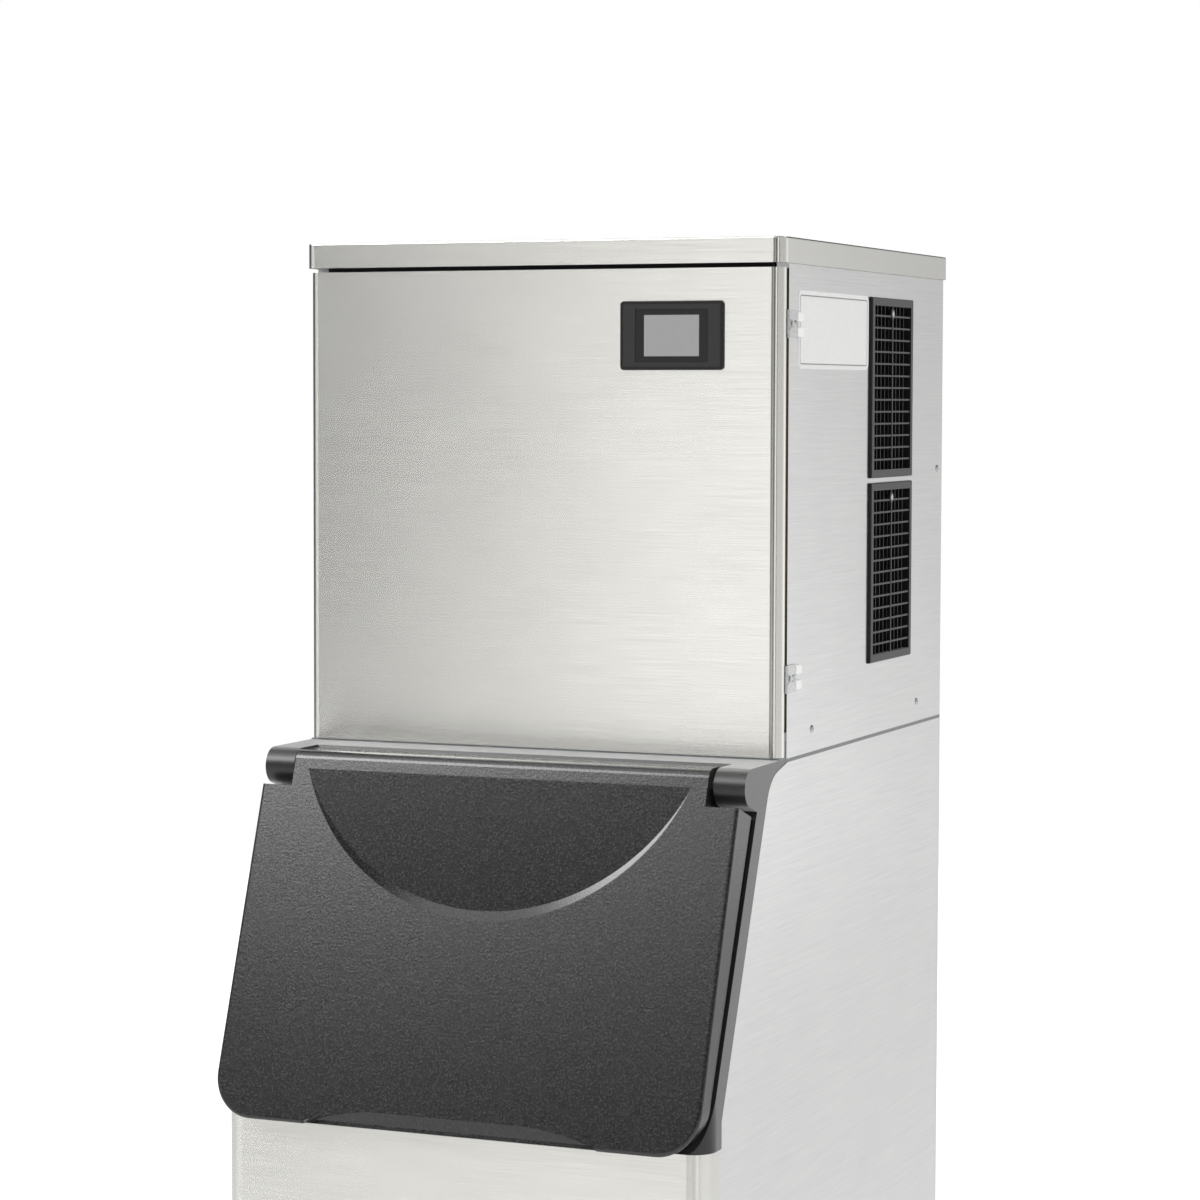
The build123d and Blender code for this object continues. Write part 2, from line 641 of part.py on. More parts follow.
# Hinges of the head door: outer knuckles on the cabinet leaf, middle knuckle on the door leaf, one pin each
hinge_pin_radius = 1.5
knuckle_gap = 0.4
segment = (knuckle_height - 2 * knuckle_gap) / 3
leaf_end = 46.0
leaf_thick = 1.6
lobe_radius = 7.0
with BuildPart() as head_hinge_leaves:
    for z in head_hinges_z:
        low = z - knuckle_height / 2
        rod((*head_axis, low), knuckle_radius, segment)
        rod((*head_axis, low + knuckle_height - segment), knuckle_radius, segment)
        for start in (low, low + knuckle_height - segment):
            block((half, half + leaf_thick), (head_axis[1], panel_start + 6), (start, start + segment))
        block((half, half + leaf_thick), (panel_start + 2, leaf_end), (low, low + knuckle_height))
        for lobe in (low + lobe_radius, low + knuckle_height - lobe_radius):
            rod((half, leaf_end, lobe), lobe_radius, leaf_thick, axis=(1, 0, 0))
        rod((half, 29.0, z), 3.5, leaf_thick + 1.0, axis=(1, 0, 0))
    for z in head_hinges_z:
        rod((*head_axis, z - knuckle_height), hinge_pin_radius, 2 * knuckle_height, mode=Mode.SUBTRACT)
finish(head_hinge_leaves, "head_hinge_leaves")

with BuildPart() as head_door_leaves:
    for z in head_hinges_z:
        rod((*head_axis, z - segment / 2), knuckle_radius, segment)
        block((half - sheet - leaf_thick, half - sheet), (bend_radius + 0.5, head_axis[1]),
              (z - segment / 2, z + segment / 2))
        rod((*head_axis, z - knuckle_height), hinge_pin_radius + running_gap, 2 * knuckle_height,
            mode=Mode.SUBTRACT)
finish(head_door_leaves, "head_door_leaves")

with BuildPart() as head_hinge_pins:
    for z in head_hinges_z:
        rod((*head_axis, z - knuckle_height / 2), hinge_pin_radius, knuckle_height)
finish(head_hinge_pins, "head_hinge_pins")

# Ice-making section

# Compartment liner, open to the front and over the bin, and the steel divider behind it
wet_x = (-268.0, 36.0)
wet_y = (24.0, 252.0)
wet_top = 540.0
wet_inside = (wet_x[0] + liner_wall, wet_x[1] - liner_wall)
wet_back = wet_y[1] - liner_wall
pan_floor = seal + pan_wall
coil_tail_x = -215.0
coil_rows = (172.0, 372.0)
pipe_radius = 4.0
coil_radius = 5.0
tube_radius = 6.0
water_top = 500.0
with BuildPart() as wet_liner:
    block(wet_x, wet_y, (pan_floor, wet_top))
    block(wet_inside, (0, wet_back), (0, wet_top - liner_wall), mode=Mode.SUBTRACT)
    for z in coil_rows:
        rod((coil_tail_x, 240, z), coil_radius + 1, 30, axis=(0, 1, 0), mode=Mode.SUBTRACT)
    rod((inlet_x, 240, water_top), tube_radius, 30, axis=(0, 1, 0), mode=Mode.SUBTRACT)
    rod((sump_drain[0], 240, sump_drain[1]), drain_hole, 30, axis=(0, 1, 0), mode=Mode.SUBTRACT)
finish(wet_liner, "wet_liner")

divider_thick = 1.2
divider_back = wet_y[1] + divider_thick
with BuildPart() as divider_wall:
    block((-head_half, head_half), (wet_y[1], divider_back), (pan_floor, wet_top))
    for z in coil_rows:
        rod((coil_tail_x, 240, z), coil_radius + 1, 30, axis=(0, 1, 0), mode=Mode.SUBTRACT)
    rod((inlet_x, 240, water_top), tube_radius, 30, axis=(0, 1, 0), mode=Mode.SUBTRACT)
    rod((sump_drain[0], 240, sump_drain[1]), drain_hole, 30, axis=(0, 1, 0), mode=Mode.SUBTRACT)
    for side in (-1, 1):
        block(sorted((side * head_half, side * (head_half - pan_wall))), (240, 260), (0, pan_height),
              mode=Mode.SUBTRACT)
        block(sorted((side * half, side * (half - flange))), (240, 260), (535, 545), mode=Mode.SUBTRACT)
finish(divider_wall, "divider_wall")

# Evaporator: a plated copper grid of open cells, one cube each, that faces the front
cell_pitch = 22.0
cell_wall = 1.6
cell_depth = 18.0
columns = 10
rows = 12
grid_centre = (-116.0, 282.0)
grid_front = 140.0
grid_back = 160.0
grid_width = columns * cell_pitch + cell_wall
grid_height = rows * cell_pitch + cell_wall
with BuildPart() as evaporator:
    with BuildSketch(Plane.XZ.offset(-head_front - grid_front)):
        with Locations((grid_centre[0], bin_top + grid_centre[1])):
            Rectangle(grid_width, grid_height)
            with GridLocations(cell_pitch, cell_pitch, columns, rows):
                Rectangle(cell_pitch - cell_wall, cell_pitch - cell_wall, mode=Mode.SUBTRACT)
    extrude(amount=-cell_depth)
    with BuildSketch(Plane.XZ.offset(-head_front - grid_front - cell_depth)):
        with Locations((grid_centre[0], bin_top + grid_centre[1])):
            Rectangle(grid_width, grid_height)
    extrude(amount=-(grid_back - grid_front - cell_depth))
finish(evaporator, "evaporator")

# Serpentine tube along the evaporator's back, with both tails through the divider
coil_y = grid_back + coil_radius
coil_ends = (coil_tail_x, -17.0)
coil_pitch = 40.0
runs = 6
route = [spot(coil_ends[0], divider_back + 10, coil_rows[0])]
for run in range(runs):
    first, last = coil_ends if run % 2 == 0 else coil_ends[::-1]
    z = coil_rows[0] + run * coil_pitch
    route += [spot(first, coil_y, z), spot(last, coil_y, z)]
route.append(spot(coil_ends[0], divider_back + 10, coil_rows[1]))
with BuildPart() as evaporator_coil:
    with BuildLine() as coil_path:
        FilletPolyline(*route, radius=18)
    with BuildSketch(Plane(origin=coil_path.line @ 0, z_dir=coil_path.line % 0)):
        Circle(coil_radius)
    sweep()
finish(evaporator_coil, "evaporator_coil")

# Moulded frame that holds the grid, with two ears for the water curtain's pins
ear = 6.0
curtain_axis = (122.0, 456.0)
curtain_pin = 3.0
frame_z = (132.0, 432.0)
with BuildPart() as evaporator_frame:
    block(wet_inside, (136, 166), frame_z)
    with BuildSketch(Plane.XZ.offset(-head_front - 130)):
        with Locations((grid_centre[0], bin_top + grid_centre[1])):
            Rectangle(grid_width, grid_height)
    extrude(amount=-50, mode=Mode.SUBTRACT)
    for low in (wet_inside[0], wet_inside[1] - ear):
        block((low, low + ear), (110, 166), (frame_z[1] - 12, 470))
    fillet(evaporator_frame.edges().filter_by(Axis.X).group_by(Axis.Z)[-1].group_by(Axis.Y)[0], 10)
    rod((wet_inside[0] - 1, *curtain_axis), curtain_pin + running_gap, 320, axis=(1, 0, 0),
        mode=Mode.SUBTRACT)
finish(evaporator_frame, "evaporator_frame")

# Water distributor: a tube with a row of outlets over the grid
feed_axis = (150.0, 446.0)
feed_radius = 9.0
with BuildPart() as water_distributor:
    rod((wet_inside[0] + ear, *feed_axis), feed_radius, wet_inside[1] - wet_inside[0] - 2 * ear,
        axis=(1, 0, 0))
    with Locations(Plane(origin=spot(grid_centre[0], *feed_axis), z_dir=(0, 0, -1))):
        with GridLocations(cell_pitch, 1, columns, 1):
            Cylinder(1.5, 10, align=(Align.CENTER, Align.CENTER, Align.MIN), mode=Mode.SUBTRACT)
finish(water_distributor, "water_distributor")

# Water curtain: a clear ribbed flap that hangs in front of the grid and lets the sheet of ice fall
curtain_x = (wet_inside[0] + ear + 0.8, wet_inside[1] - ear - 0.8)
curtain_foot = 118.0
flap_half = 1.25
with BuildPart() as water_curtain:
    block(curtain_x, (curtain_axis[0] - flap_half, curtain_axis[0] + flap_half),
          (curtain_foot, curtain_axis[1]))
    rod((curtain_x[0], *curtain_axis), 5, curtain_x[1] - curtain_x[0], axis=(1, 0, 0))
    rod((curtain_x[0] - 5, *curtain_axis), curtain_pin, curtain_x[1] - curtain_x[0] + 10, axis=(1, 0, 0))
    with Locations(spot(sum(curtain_x) / 2, curtain_axis[0] - flap_half, 280)):
        with GridLocations(60, 1, 5, 1):
            Box(3, 6, 320, align=(Align.CENTER, Align.MAX, Align.CENTER))
finish(water_curtain, "water_curtain")

# Water trough under the grid, its pump and the riser hose
sump_y = (134.0, wet_back)
sump_z = (40.0, 112.0)
sump_wall = 2.5
pump_spot = (-8.0, 206.0)
with BuildPart() as water_sump:
    block(wet_inside, sump_y, sump_z)
    block((wet_inside[0] + sump_wall, wet_inside[1] - sump_wall),
          (sump_y[0] + sump_wall, sump_y[1] - sump_wall), (sump_z[0] + sump_wall, sump_z[1] + 5),
          mode=Mode.SUBTRACT)
    rod((sump_drain[0], 240, sump_drain[1]), drain_hole, 30, axis=(0, 1, 0), mode=Mode.SUBTRACT)
finish(water_sump, "water_sump")

# Pump from its volute up: height, radius and length of each section
pump_sections = ((sump_z[0] + sump_wall, 20.0, 16.0), (58.0, 9.0, 64.0), (120.0, 27.0, 8.0),
                 (128.0, 23.0, 44.0))
with BuildPart() as water_pump:
    for base, radius, length in pump_sections:
        rod((*pump_spot, base), radius, length)
    fillet(water_pump.faces().sort_by(Axis.Z)[-1].edges(), 5)
finish(water_pump, "water_pump")

hose_x = -70.0
hose_low = 51.0
with BuildPart() as pump_hose:
    with BuildLine() as hose_path:
        FilletPolyline(spot(pump_spot[0] - 20, pump_spot[1], hose_low), spot(hose_x, pump_spot[1], hose_low),
                       spot(hose_x, pump_spot[1], feed_axis[1]),
                       spot(hose_x, feed_axis[0] + feed_radius, feed_axis[1]), radius=22)
    with BuildSketch(Plane(origin=hose_path.line @ 0, z_dir=hose_path.line % 0)):
        Circle(tube_radius)
    sweep()
finish(pump_hose, "pump_hose")

# Control box beside the wet compartment: a folded tray, the board inside and a screwed cover
box_x = (wet_x[1], 262.0)
box_y = (34.0, 124.0)
box_z = (250.0, 520.0)
with BuildPart() as control_box:
    block(box_x, box_y, box_z)
    block((box_x[0] + sheet, box_x[1] - sheet), (box_y[0] - 5, box_y[1] - sheet),
          (box_z[0] + sheet, box_z[1] - sheet), mode=Mode.SUBTRACT)
    block((box_x[0], box_x[0] + sheet), (box_y[1] - 1, wet_y[1]), (box_z[0] + 40, box_z[1] - 40))
finish(control_box, "control_box")

# Board on four posts, with a transformer, a relay block and three capacitors
board_x = (70.0, 230.0)
board_z = (290.0, 480.0)
post_height = 10.0
board_back = box_y[1] - post_height
board_face = board_back - 2
with BuildPart() as control_board:
    block(board_x, (board_face, board_back), board_z)
    for x in (board_x[0] + 8, board_x[1] - 8):
        for z in (board_z[0] + 8, board_z[1] - 8):
            rod((x, board_back, z), 3, post_height - sheet, axis=(0, 1, 0))
    block((90, 130), (board_face - 24, board_face), (390, 440))
    block((150, 215), (board_face - 12, board_face), (310, 350))
    for x in (150, 172, 194):
        rod((x, board_face, 420), 9, 26, axis=(0, -1, 0))
finish(control_board, "control_board")

with BuildPart() as control_cover:
    block(box_x, (box_y[0] - sheet, box_y[0]), box_z)
    with BuildSketch(Plane.XZ.offset(-head_front - box_y[0] + 5)):
        with Locations((sum(box_x) / 2, bin_top + 300)):
            with GridLocations(0, 12, 1, 5):
                SlotOverall(120, 4)
    extrude(amount=-10, mode=Mode.SUBTRACT)
finish(control_cover, "control_cover")

# Machinery bay

# Compressor: a welded steel can on a foot plate with four rubber mounts
can_spot = (-130.0, 402.0)
can_radius = 78.0
foot_z = 24.0
foot_grid = 130.0
port_z = 180.0
port_radius = 6.0
port_length = 10.0
can_top = foot_z + 3 + 226
with BuildPart() as compressor:
    rod((*can_spot, foot_z + 3), can_radius, can_top - foot_z - 3)
    fillet(compressor.edges().filter_by(GeomType.CIRCLE).sort_by(Axis.Z)[-1], 46)
    chamfer(compressor.edges().filter_by(GeomType.CIRCLE).sort_by(Axis.Z)[0], 20)
    rod((*can_spot, foot_z + 100), can_radius + 3, 8)
    block((can_spot[0] - 76, can_spot[0] + 76), (can_spot[1] - 76, can_spot[1] + 76), (foot_z, foot_z + 3))
    rod((can_spot[0], can_spot[1], port_z), port_radius, can_radius + port_length, axis=(1, 0, 0))
    with Locations(spot(*can_spot, foot_z)):
        with GridLocations(foot_grid, foot_grid, 2, 2):
            Cylinder(5, 20, mode=Mode.SUBTRACT)
finish(compressor, "compressor")

with BuildPart() as compressor_mounts:
    with Locations(spot(*can_spot, pan_floor)):
        with GridLocations(foot_grid, foot_grid, 2, 2):
            Cylinder(11, foot_z - pan_floor, align=(Align.CENTER, Align.CENTER, Align.MIN))
            Cylinder(5, foot_z - pan_floor + 9, align=(Align.CENTER, Align.CENTER, Align.MIN))
finish(compressor_mounts, "compressor_mounts")

# Condenser behind the grilles: a finned block between two end plates
core_x = (225.0, 255.0)
fin_x = (218.0, 262.0)
core_y = (300.0, 450.0)
core_z = (60.0, 500.0)
fins = 44
fin_thick = 1.2
end_plate = 1.5
with BuildPart() as condenser:
    block(core_x, core_y, core_z)
    fin_pitch = (core_z[1] - core_z[0]) / fins
    with Locations(spot(sum(fin_x) / 2, sum(core_y) / 2, sum(core_z) / 2)):
        with Locations(*[(0, 0, (n - (fins - 1) / 2) * fin_pitch) for n in range(fins)]):
            Box(fin_x[1] - fin_x[0], core_y[1] - core_y[0], fin_thick)
    for dy in (core_y[0] - end_plate, core_y[1]):
        block(fin_x, (dy, dy + end_plate), (pan_floor, core_z[1]))
finish(condenser, "condenser")

# Fan: shroud on the condenser, motor on four stays, and a five-bladed wheel on its shaft
fan_axis = (375.0, 280.0)
shroud_x = (196.0, 218.0)
shroud_hole = 70.0
blade_radius = 64.0
shaft_radius = 4.0
with BuildPart() as fan_shroud:
    block(shroud_x, (core_y[0] - end_plate, core_y[1] + end_plate), (core_z[0] - 2, core_z[1]))
    block((shroud_x[0] + end_plate, shroud_x[1] + 1), core_y, (core_z[0], core_z[1] - end_plate),
          mode=Mode.SUBTRACT)
    rod((shroud_x[0] - 10, *fan_axis), shroud_hole, 20, axis=(1, 0, 0), mode=Mode.SUBTRACT)
finish(fan_shroud, "fan_shroud")

motor_x = (96.0, 158.0)
motor_radius = 38.0
stay_radius = (motor_radius - 4, 76.0)
with BuildPart() as fan_motor:
    rod((motor_x[0], *fan_axis), motor_radius, motor_x[1] - motor_x[0], axis=(1, 0, 0))
    fillet(fan_motor.edges().filter_by(GeomType.CIRCLE), 6)
    rod((motor_x[1] - 1, *fan_axis), shaft_radius, 35, axis=(1, 0, 0))
    with Locations(Plane(origin=spot(motor_x[1] - 14, *fan_axis), x_dir=(0, 1, 0), z_dir=(1, 0, 0))):
        with PolarLocations(0, 4):
            with Locations((sum(stay_radius) / 2, 0, 0)):
                Box(stay_radius[1] - stay_radius[0], 8, 3, align=(Align.CENTER, Align.CENTER, Align.MIN))
            with Locations((stay_radius[1], 0, 0)):
                Box(3, 8, shroud_x[0] - motor_x[1] + 14, align=(Align.MAX, Align.CENTER, Align.MIN))
finish(fan_motor, "fan_motor")

blades = 5
blade_pitch = 30.0
with BuildPart() as fan_blades:
    with Locations(Plane(origin=spot(180, *fan_axis), x_dir=(0, 1, 0), z_dir=(1, 0, 0))):
        with PolarLocations(0, blades):
            with Locations(Location((blade_radius / 2 + 5, 0, 0), (blade_pitch, 0, 0))):
                Box(blade_radius + 10, 34, 1.6)
        Cylinder(blade_radius, 40, mode=Mode.INTERSECT)
        Cylinder(18, 22)
    rod((160, *fan_axis), shaft_radius + running_gap, 40, axis=(1, 0, 0), mode=Mode.SUBTRACT)
finish(fan_blades, "fan_blades")

# Refrigerant circuit: discharge, liquid and suction lines, and the filter drier
drier_spot = (60.0, 320.0)
drier_z = (120.0, 240.0)
condenser_x = 240.0
pipe_top = 522.0
pipe_floor = 30.0
feed_y = 288.0
feed_z = 300.0
tube_y = 270.0


def line(name, points, radius, bend):
    """Round pipe along straight runs joined by arcs."""
    with BuildPart() as pipe:
        with BuildLine() as path:
            FilletPolyline(*points, radius=bend)
        with BuildSketch(Plane(origin=path.line @ 0, z_dir=path.line % 0)):
            Circle(radius)
        sweep()
    finish(pipe, name)


port_x = can_spot[0] + can_radius + port_length
line("discharge_pipe",
     [spot(port_x, can_spot[1], port_z), spot(0, can_spot[1], port_z), spot(0, can_spot[1], pipe_top),
      spot(condenser_x, can_spot[1], pipe_top), spot(condenser_x, can_spot[1], core_z[1])], pipe_radius, 16)
line("liquid_pipe",
     [spot(condenser_x, drier_spot[1], core_z[0]), spot(condenser_x, drier_spot[1], pipe_floor),
      spot(*drier_spot, pipe_floor), spot(*drier_spot, drier_z[0])], pipe_radius, 16)
line("feed_pipe",
     [spot(*drier_spot, drier_z[1]), spot(*drier_spot, feed_z), spot(drier_spot[0], feed_y, feed_z),
      spot(coil_tail_x, feed_y, feed_z), spot(coil_tail_x, feed_y, coil_rows[0]),
      spot(coil_tail_x, divider_back + 10, coil_rows[0])], pipe_radius, 14)
line("suction_pipe",
     [spot(coil_tail_x, divider_back + 10, coil_rows[1]), spot(coil_tail_x, can_spot[1], coil_rows[1]),
      spot(can_spot[0], can_spot[1], coil_rows[1]), spot(can_spot[0], can_spot[1], can_top)],
     coil_radius, 28)

with BuildPart() as filter_drier:
    rod((*drier_spot, drier_z[0]), 21, drier_z[1] - drier_z[0])
    fillet(filter_drier.edges().filter_by(GeomType.CIRCLE), 12)
finish(filter_drier, "filter_drier")

# Services on the rear panel: water inlet and its tube, trough drain and the cable gland
inlet_bore = 9.0
valve_back = head_depth - 44
with BuildPart() as water_inlet:
    rod((inlet_x, head_depth - 40, service_z), service_hole, 40, axis=(0, 1, 0))
    block((inlet_x - 18, inlet_x + 18), (valve_back, head_depth - sheet), (service_z - 22, service_z + 22))
    rod((inlet_x, head_depth - 22, service_z), inlet_bore, 30, axis=(0, 1, 0), mode=Mode.SUBTRACT)
finish(water_inlet, "water_inlet")
line("water_tube",
     [spot(inlet_x, valve_back, service_z), spot(inlet_x, tube_y, service_z),
      spot(inlet_x, tube_y, water_top), spot(inlet_x, wet_back + 0.5, water_top)], tube_radius - 0.1, 14)

drain_tube_bore = 6.0
with BuildPart() as head_drain:
    rod((sump_drain[0], wet_back - 4, sump_drain[1]), 8, head_depth - wet_back + 4, axis=(0, 1, 0))
    rod((sump_drain[0], wet_back - 5, sump_drain[1]), drain_tube_bore, head_depth, axis=(0, 1, 0),
        mode=Mode.SUBTRACT)
finish(head_drain, "head_drain")

with BuildPart() as cable_gland:
    rod((cable_x, head_depth - 14, service_z), service_hole, 14, axis=(0, 1, 0))
    with BuildSketch(Plane.XZ.offset(-head_front - head_depth)):
        with Locations((cable_x, bin_top + service_z)):
            RegularPolygon(18, 6)
    extrude(amount=-2.6)
    rod((cable_x, head_depth - 20, service_z), 6, 40, axis=(0, 1, 0), mode=Mode.SUBTRACT)
finish(cable_gland, "cable_gland")
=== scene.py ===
from math import cos, pi, radians, sin

import bpy
import numpy as np
from mathutils import Matrix, Vector


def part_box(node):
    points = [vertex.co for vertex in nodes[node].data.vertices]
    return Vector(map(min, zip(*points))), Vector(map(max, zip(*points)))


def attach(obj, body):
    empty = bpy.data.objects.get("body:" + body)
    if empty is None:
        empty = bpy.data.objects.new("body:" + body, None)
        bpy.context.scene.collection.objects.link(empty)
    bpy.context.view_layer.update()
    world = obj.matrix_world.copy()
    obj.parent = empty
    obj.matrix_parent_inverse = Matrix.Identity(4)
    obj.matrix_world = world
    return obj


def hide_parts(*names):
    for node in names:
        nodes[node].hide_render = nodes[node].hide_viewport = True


# Ice-making head seated on its storage bin. Metres, +X to its right, +Y to its back, +Z up.
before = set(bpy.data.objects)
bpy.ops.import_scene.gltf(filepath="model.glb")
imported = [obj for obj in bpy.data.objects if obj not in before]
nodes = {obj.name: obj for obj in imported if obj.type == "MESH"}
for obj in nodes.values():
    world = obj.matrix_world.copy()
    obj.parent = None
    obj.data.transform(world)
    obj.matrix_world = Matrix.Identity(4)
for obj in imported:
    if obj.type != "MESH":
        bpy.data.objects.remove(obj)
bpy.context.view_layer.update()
MM = 0.001

# Places read from the frame
head_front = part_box("head_door_pan")[0].y
bin_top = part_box("bin_liner")[1].z

# Distances in mm: side skins, louvre bars and hinge leaves from the middle; hinges above the bin's top
SIDE_FACE = 280.0
LOUVRE_FACE = 282.1
LEAF_FACE = 281.6
HINGE_HEIGHTS = (85.0, 463.0)


# Helpers for colours and shader nodes

def tint(code, alpha=1.0):
    """Linear colour of an sRGB hex code."""
    parts = [int(code[i:i + 2], 16) / 255 for i in (1, 3, 5)]
    linear = [c / 12.92 if c <= 0.04045 else ((c + 0.055) / 1.055) ** 2.4 for c in parts]
    return (*linear, alpha)


def add_node(tree, kind, settings=None, inputs=None):
    """Adds one shader node, sets its properties and its inputs; an input that is a socket is linked."""
    node = tree.nodes.new("ShaderNode" + kind)
    for name, value in (settings or {}).items():
        setattr(node, name, value)
    for name, value in (inputs or {}).items():
        if isinstance(value, bpy.types.NodeSocket):
            tree.links.new(value, node.inputs[name])
        else:
            node.inputs[name].default_value = value
    return node


def new_finish(name, **constants):
    """Material whose Principled shader has its constant sockets set: the material, its tree, the shader."""
    material = bpy.data.materials.new(name)
    material.use_nodes = True
    tree = material.node_tree
    shader = tree.nodes["Principled BSDF"]
    for socket, value in constants.items():
        shader.inputs[socket.replace("_", " ")].default_value = value
    return material, tree, shader


def place_scaled(tree, scale):
    """Object coordinates stretched by a factor on each axis, in features per metre."""
    here = add_node(tree, "TexCoord")
    return add_node(tree, "Mapping", None, {"Vector": here.outputs["Object"], "Scale": scale}).outputs[0]


def noise(tree, where, detail=3.0, rough=0.5):
    """Noise of one feature per unit of the given coordinates."""
    made = add_node(tree, "TexNoise", None, {"Vector": where, "Scale": 1.0, "Detail": detail,
                                             "Roughness": rough})
    return made.outputs["Fac"]


def ramp(tree, value, stops):
    """Colour ramp over a value; stops are pairs of a position and a hex colour."""
    made = add_node(tree, "ValToRGB", None, {"Fac": value})
    band = made.color_ramp
    while len(band.elements) < len(stops):
        band.elements.new(0.5)
    for element, (position, code) in zip(band.elements, stops):
        element.position = position
        element.color = tint(code)
    return made.outputs["Color"]


def span(tree, value, low, high):
    """Value of 0 to 1 carried onto low to high."""
    made = add_node(tree, "MapRange", None, {"Value": value, "To Min": low, "To Max": high})
    return made.outputs["Result"]


def raise_surface(tree, shader, height, distance, strength=1.0):
    """Bump of a height of 0 to 1 that stands for a real distance in metres."""
    made = add_node(tree, "Bump", None, {"Height": height, "Distance": distance, "Strength": strength})
    tree.links.new(made.outputs["Normal"], shader.inputs["Normal"])
    return made


# Finishes

# Direction that the highlights on brushed sheet spread in: upright on walls, front to back on a flat top
ACROSS_GRAIN = (0.0, 0.02, 1.0)
LINE_GAP = 1.3
LINE_LENGTH = 90


def brushed_stainless(name, code_dark, code_light, along, roughness):
    """Cold-rolled stainless sheet, belt-brushed along one axis: fine lines and a long soft highlight across.
    The grit leaves lines of about 0.3 mm, drawn 1.3 mm apart so that they show, and 90 mm long."""
    material, tree, shader = new_finish(name, Metallic=1.0, Roughness=roughness, Anisotropic=0.9)
    fine = 1 / (LINE_GAP * MM)
    slow = 1 / (LINE_LENGTH * MM)
    scale = [slow if axis == along else fine for axis in "XYZ"]
    lines = noise(tree, place_scaled(tree, scale), detail=2.0, rough=0.6)
    clouds = noise(tree, place_scaled(tree, [9.0, 9.0, 9.0]), detail=2.0)
    both = add_node(tree, "Mix", None, {"Factor": 0.25, "A": lines, "B": clouds})
    colour = ramp(tree, both.outputs["Result"], [(0.3, code_dark), (0.7, code_light)])
    tree.links.new(colour, shader.inputs["Base Color"])
    across = add_node(tree, "VectorTransform",
                      {"vector_type": "VECTOR", "convert_from": "OBJECT", "convert_to": "WORLD"},
                      {"Vector": ACROSS_GRAIN})
    tree.links.new(across.outputs[0], shader.inputs["Tangent"])
    raise_surface(tree, shader, lines, 0.003 * MM, 0.06)
    return material


def textured_moulding(name, code_dark, code_light, grain, depth, roughness, sheen=0.0, gloss=0.5):
    """Injection-moulded plastic from a spark-eroded tool: a leathery pebble of a real grain size in mm."""
    material, tree, shader = new_finish(name, Metallic=0.0, Roughness=roughness, IOR=1.49, Sheen_Weight=sheen,
                                        Sheen_Roughness=0.35, Specular_IOR_Level=gloss)
    pebble = noise(tree, place_scaled(tree, [1 / (grain * MM)] * 3), detail=3.0, rough=0.6)
    colour = ramp(tree, pebble, [(0.38, code_dark), (0.66, code_light)])
    tree.links.new(colour, shader.inputs["Base Color"])
    raise_surface(tree, shader, pebble, depth * MM, 1.0)
    return material


def spangled_zinc(name):
    """Hot-dip galvanised sheet: grey metal with soft flakes some 8 mm wide."""
    material, tree, shader = new_finish(name, Metallic=1.0, Roughness=0.45)
    flakes = add_node(tree, "TexVoronoi", None, {"Vector": place_scaled(tree, [1 / (8 * MM)] * 3),
                                                 "Scale": 1.0})
    grey = add_node(tree, "RGBToBW", None, {"Color": flakes.outputs["Color"]})
    colour = ramp(tree, grey.outputs[0], [(0.0, "#8F9597"), (1.0, "#B4B9BA")])
    tree.links.new(colour, shader.inputs["Base Color"])
    tree.links.new(span(tree, grey.outputs[0], 0.36, 0.52), shader.inputs["Roughness"])
    return material


def plain_metal(name, code_dark, code_light, roughness, grain=1.5):
    """Drawn, rolled or turned metal with faint tarnish in spots of a grain size in mm."""
    material, tree, shader = new_finish(name, Metallic=1.0, Roughness=roughness)
    spots = noise(tree, place_scaled(tree, [1 / (grain * MM)] * 3), detail=4.0)
    colour = ramp(tree, spots, [(0.35, code_dark), (0.65, code_light)])
    tree.links.new(colour, shader.inputs["Base Color"])
    tree.links.new(span(tree, spots, roughness - 0.06, roughness + 0.06), shader.inputs["Roughness"])
    return material


def enamel(name, code_dark, code_light, roughness=0.32):
    """Sprayed and baked enamel with a slight orange peel of some 2 mm."""
    material, tree, shader = new_finish(name, Metallic=0.0, Roughness=roughness, IOR=1.5, Coat_Weight=0.3,
                                        Coat_Roughness=0.15)
    peel = noise(tree, place_scaled(tree, [1 / (2 * MM)] * 3), detail=1.0)
    colour = ramp(tree, peel, [(0.3, code_dark), (0.7, code_light)])
    tree.links.new(colour, shader.inputs["Base Color"])
    raise_surface(tree, shader, peel, 0.03 * MM, 0.5)
    return material


# Half width of the step between the two tones of a framed face
EDGE_BLUR = 0.2 * MM


